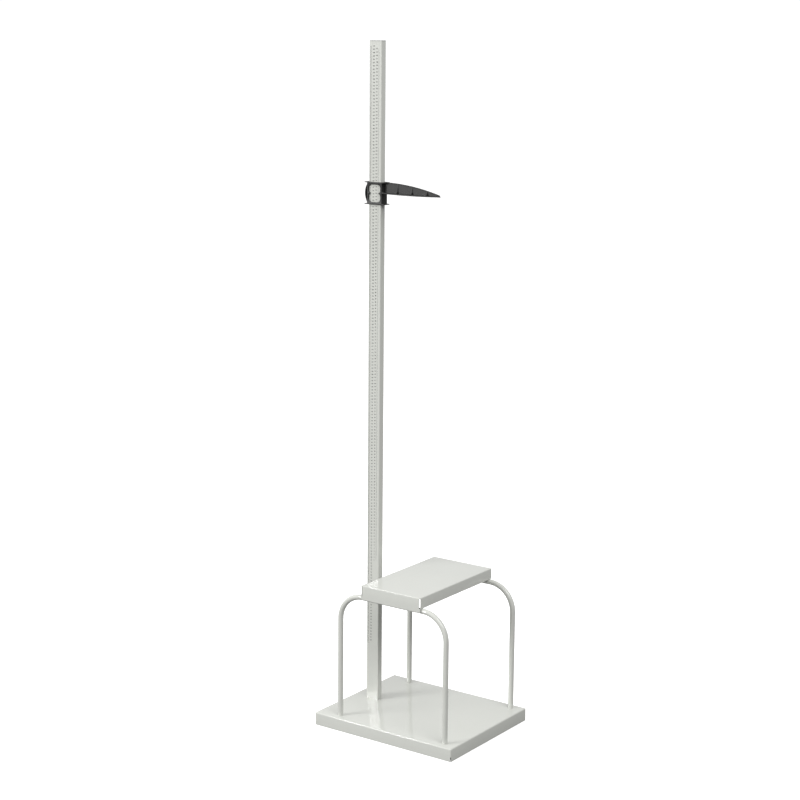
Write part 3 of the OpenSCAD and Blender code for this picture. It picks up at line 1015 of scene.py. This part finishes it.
def make_boss():
    left, right, length, height = BOSS
    made = block("boss", (left, -length, PLATE_THICK - SINK), (right, -EXTRA_START, height))
    round_edges(made, BOSS_EDGE, 3, ARM_EDGE_ANGLE)
    return made


def make_shelf():
    """The thicker root of the plate, as deep as the slider."""
    half, length, low, high = SHELF
    made = block("shelf", (-half, -length, low), (half, -EXTRA_START * 3, high))
    edit(made)
    pick("EDGE", lambda edge: along_axis(edge, 0) and middle(edge).y < -length / 2)
    bpy.ops.mesh.bevel(offset=SHELF_ROUND, segments=4)
    leave_edit()
    return made


# %% Arm
def make_arm():
    made = make_plate()
    extras = [make_web(), make_bead(), make_boss(), make_shelf()]
    extras += [make_rib(distance) for distance in RIB_PLACES]
    for extra in extras:
        weld(made, extra)
    return settle(made, (0, arm_high.y, slider_centre.z))


dress(make_arm(), "slider", "black_plastic", black_plastic, "headboard_arm")

# %% [markdown]
# ## Feet
#
# Each foot is a turned rubber post with a soft, grooved sole. The screw head sits deep in a recess, clear
# of the floor. The profile is a cylinder that is inset and extruded at its sole.

# %% Feet
FOOT_SIDES = 40
FOOT_RECESS_R = 7 * MM
FOOT_RECESS_H = 12 * MM
FOOT_R = 13 * MM
SOLE_EDGE = 1.4 * MM
SOLE_BAND = 1.6 * MM
GROOVE_SLOPE = 0.7 * MM
GROOVE_DEPTH = 0.8 * MM
GROOVE_FLOOR = 0.5 * MM

feet_low, feet_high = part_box("rubber_feet")


def make_foot():
    height = feet_high.z - feet_low.z
    deselect()
    bpy.ops.mesh.primitive_cylinder_add(
        vertices=FOOT_SIDES, radius=FOOT_R, depth=height, location=(0, 0, height / 2)
    )
    made = bpy.context.object
    settle(made)
    edit(made)
    pick("FACE", lambda face: looks(face, 2, -1))
    bpy.ops.mesh.bevel(offset=SOLE_EDGE, segments=3)
    pick("FACE", lambda face: looks(face, 2, -1) and on_plane(face, 2, 0))
    bpy.ops.mesh.inset(thickness=SOLE_BAND)
    bpy.ops.mesh.inset(thickness=GROOVE_SLOPE)
    extrude((0, 0, GROOVE_DEPTH))
    bpy.ops.mesh.inset(thickness=GROOVE_FLOOR)
    extrude((0, 0, -GROOVE_DEPTH))
    bpy.ops.mesh.inset(
        thickness=FOOT_R - SOLE_EDGE - SOLE_BAND - GROOVE_SLOPE - GROOVE_FLOOR - FOOT_RECESS_R
    )
    extrude((0, 0, FOOT_RECESS_H))
    leave_edit()
    return made


def place_feet(model):
    copies = []
    for x in (feet_low.x + FOOT_R, feet_high.x - FOOT_R):
        for y in (feet_low.y + FOOT_R, feet_high.y - FOOT_R):
            copy = model.copy()
            copy.data = model.data.copy()
            copy.name = f"foot_{len(copies) + 1}"
            bpy.context.collection.objects.link(copy)
            copies.append(settle(copy, (x, y, feet_low.z)))
    bpy.data.objects.remove(model)
    return copies


feet = place_feet(make_foot())
for foot in feet:
    dress(foot, "stand", "rubber", rubber)
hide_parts("rubber_feet")

# %% [markdown]
# ## Softened CAD pieces
#
# The clips, cradles, ribs and channels have the right shape already and only lack the small radii of
# moulded plastic and folded steel. A CAD mesh is never changed, so each is copied. The copy's loose
# triangles are merged, its flat faces are made whole again, and its sharp edges are bevelled.

# %% Softened copies
MOULDED_EDGE = 0.5 * MM
RIB_FOLD = 0.4 * MM
CHANNEL_FOLD = 0.7 * MM
FLAT_ANGLE = 1


def soften(node, name, width, body, slot_name, finish):
    copy = nodes[node].copy()
    copy.data = nodes[node].data.copy()
    copy.name = name
    for key in list(copy.keys()):
        del copy[key]
    copy.parent = None
    bpy.context.collection.objects.link(copy)
    edit(copy)
    bpy.ops.mesh.select_all(action="SELECT")
    bpy.ops.mesh.remove_doubles(threshold=TINY)
    bpy.ops.mesh.dissolve_limited(angle_limit=math.radians(FLAT_ANGLE))
    leave_edit()
    round_edges(copy, width)
    return dress(copy, body, slot_name, finish, node)


soften("hinge_clips", "seat_clips", MOULDED_EDGE, "seat", "black_plastic", black_plastic)
soften("rest_cradles", "seat_cradles", MOULDED_EDGE, "seat", "rubber", rubber)
soften("seat_ribs", "seat_stiffeners", RIB_FOLD, "seat", "zinc_steel", zinc)
soften("near_channel", "near_beam", CHANNEL_FOLD, "stand", "zinc_steel", zinc)
soften("far_channel", "far_beam", CHANNEL_FOLD, "stand", "zinc_steel", zinc)
soften("column_channel", "column_beam", CHANNEL_FOLD, "stand", "zinc_steel", zinc)

# %% [markdown]
# ## Printed scale
#
# The film carries a line for every millimetre along one edge, a longer one for every half and whole
# centimetre, and a number at each centimetre. A second row of numbers counts from the seat, for sitting
# height. One line is modelled as a thin block of ink and repeated by an array. The ten digits are drawn
# once and copied into their places, which is far quicker than three hundred and fifty separate words.

# %% Lines
INK_THICK = 0.06 * MM
FIRST_LINE = 190
LAST_LINE = 2100
LINE_WIDE = 0.24 * MM
EDGE_MARGIN = 0.6 * MM
SHORT_LINE = 5.5 * MM
HALF_LINE = 1.8 * MM
WHOLE_LINE = 3.4 * MM

strip_low, strip_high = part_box("scale_strip")
floor_of_scale = platform_high.z


def line_row(name, edge_y, length, first, step, count):
    """A row of lines of ink: each starts at edge_y and runs across the film."""
    z = floor_of_scale + first * MM
    made = block(
        name,
        (strip_low.x - INK_THICK, edge_y - length, z - LINE_WIDE / 2),
        (strip_low.x, edge_y, z + LINE_WIDE / 2),
    )
    apply_modifier(
        made,
        "ARRAY",
        count=count,
        use_relative_offset=False,
        use_constant_offset=True,
        constant_offset_displace=(0, 0, step * MM),
    )
    return made


def join(pieces):
    activate(pieces[0])
    for piece in pieces:
        piece.select_set(True)
    bpy.ops.object.join()
    return pieces[0]


def make_lines():
    edge = strip_high.y - EDGE_MARGIN
    span = LAST_LINE - FIRST_LINE
    inner = edge - SHORT_LINE
    rows = [
        line_row("scale_lines", edge, SHORT_LINE, FIRST_LINE, 1, span + 1),
        line_row("halves", inner, HALF_LINE, FIRST_LINE + 5, 10, span // 10),
        line_row("wholes", inner, WHOLE_LINE, FIRST_LINE, 10, span // 10 + 1),
    ]
    return join(rows)


dress(make_lines(), "stand", "scale_film", ink)

# %% Digits
DIGIT_HEIGHT = 3.6 * MM
DIGIT_STEP = 2.35 * MM
DIGIT_BOLD = 0.14 * MM
DIGIT_SHARE = 0.7
TEXT_SIZE = DIGIT_HEIGHT / DIGIT_SHARE
DIGIT_SEAM = 0.001 * MM
FIRST_ROW_Y = 193.6 * MM
SECOND_ROW_Y = 182.5 * MM
SEAT_LINE = 452
SECOND_FIRST = 20
SECOND_LAST = 1650


def draw_digit(digit):
    """One digit as (points, faces), drawn upright on the film and starting at zero."""
    deselect()
    bpy.ops.object.text_add()
    word = bpy.context.object
    word.data.body = str(digit)
    word.data.size = TEXT_SIZE
    word.data.resolution_u = 2
    word.data.offset = DIGIT_BOLD
    word.data.extrude = INK_THICK / 2
    word.data.align_x = "CENTER"
    word.data.align_y = "CENTER"
    bpy.ops.object.convert(target="MESH")
    settle(word, turn=(math.pi / 2, 0, -math.pi / 2))
    edit(word)
    bpy.ops.mesh.select_all(action="SELECT")
    bpy.ops.mesh.remove_doubles(threshold=DIGIT_SEAM)
    leave_edit()
    points = [vert.co.copy() for vert in word.data.vertices]
    faces = [tuple(face.vertices) for face in word.data.polygons]
    bpy.data.objects.remove(word)
    return points, faces


def write_numbers(name, labels):
    """All numbers of one row; a label is (number, y of its middle, z)."""
    points, faces = [], []
    for number, y, z in labels:
        text = str(number)
        for place, digit in enumerate(text):
            shift = Vector((0, ((len(text) - 1) / 2 - place) * DIGIT_STEP, 0))
            start = len(points)
            digit_points, digit_faces = digits[int(digit)]
            here = Vector((strip_low.x - INK_THICK / 2, y, z)) + shift
            points += [here + point for point in digit_points]
            faces += [tuple(start + corner for corner in face) for face in digit_faces]
    mesh = bpy.data.meshes.new(name)
    mesh.from_pydata(points, [], faces)
    made = bpy.data.objects.new(name, mesh)
    bpy.context.collection.objects.link(made)
    return made


digits = [draw_digit(digit) for digit in range(10)]
standing = [
    (reading // 10, FIRST_ROW_Y, floor_of_scale + reading * MM)
    for reading in range(FIRST_LINE + 10, LAST_LINE + 1, 10)
]
sitting = [
    (reading // 10, SECOND_ROW_Y, floor_of_scale + (SEAT_LINE + reading) * MM)
    for reading in range(SECOND_FIRST, SECOND_LAST, 10)
]
dress(write_numbers("standing_numbers", standing), "stand", "scale_film", ink)
dress(write_numbers("sitting_numbers", sitting), "stand", "scale_film", ink)

# %% Lines of the second row
SECOND_LINE_Y = 176.2 * MM
SECOND_SHORT = 2.4 * MM
SECOND_WHOLE = 4.2 * MM

first_sitting = SEAT_LINE + SECOND_FIRST
second_lines = [
    line_row("sitting_lines", SECOND_LINE_Y, SECOND_SHORT, first_sitting, 1, 10 * len(sitting) - 9),
    line_row("sitting_wholes", SECOND_LINE_Y, SECOND_WHOLE, first_sitting, 10, len(sitting)),
]
dress(join(second_lines), "stand", "scale_film", ink)

# %% [markdown]
# ## Pieces that keep their CAD shape
#
# Tubes, column, fasteners, springs and pads are the right shape as they come. They only take their
# finish.

# %% Finishes of the CAD nodes
CAD_FINISHES = {
    "column_tube": paint,
    "near_frame": paint,
    "far_frame": paint,
    "scale_strip": film,
    "guide_pads": felt,
    "brake_pad": felt,
}
ZINC_NODES = (
    "foot_screws", "column_foot", "column_bolts", "column_washers", "leg_plugs", "leg_bolts",
    "leg_washers", "seat_studs", "seat_nuts", "brake_spring", "arm_screws",
)

for name in ZINC_NODES:
    CAD_FINISHES[name] = zinc
for name, finish in CAD_FINISHES.items():
    for place in nodes[name].material_slots:
        place.material = finish
print("CAD nodes with a finish of their own:", len(CAD_FINISHES))
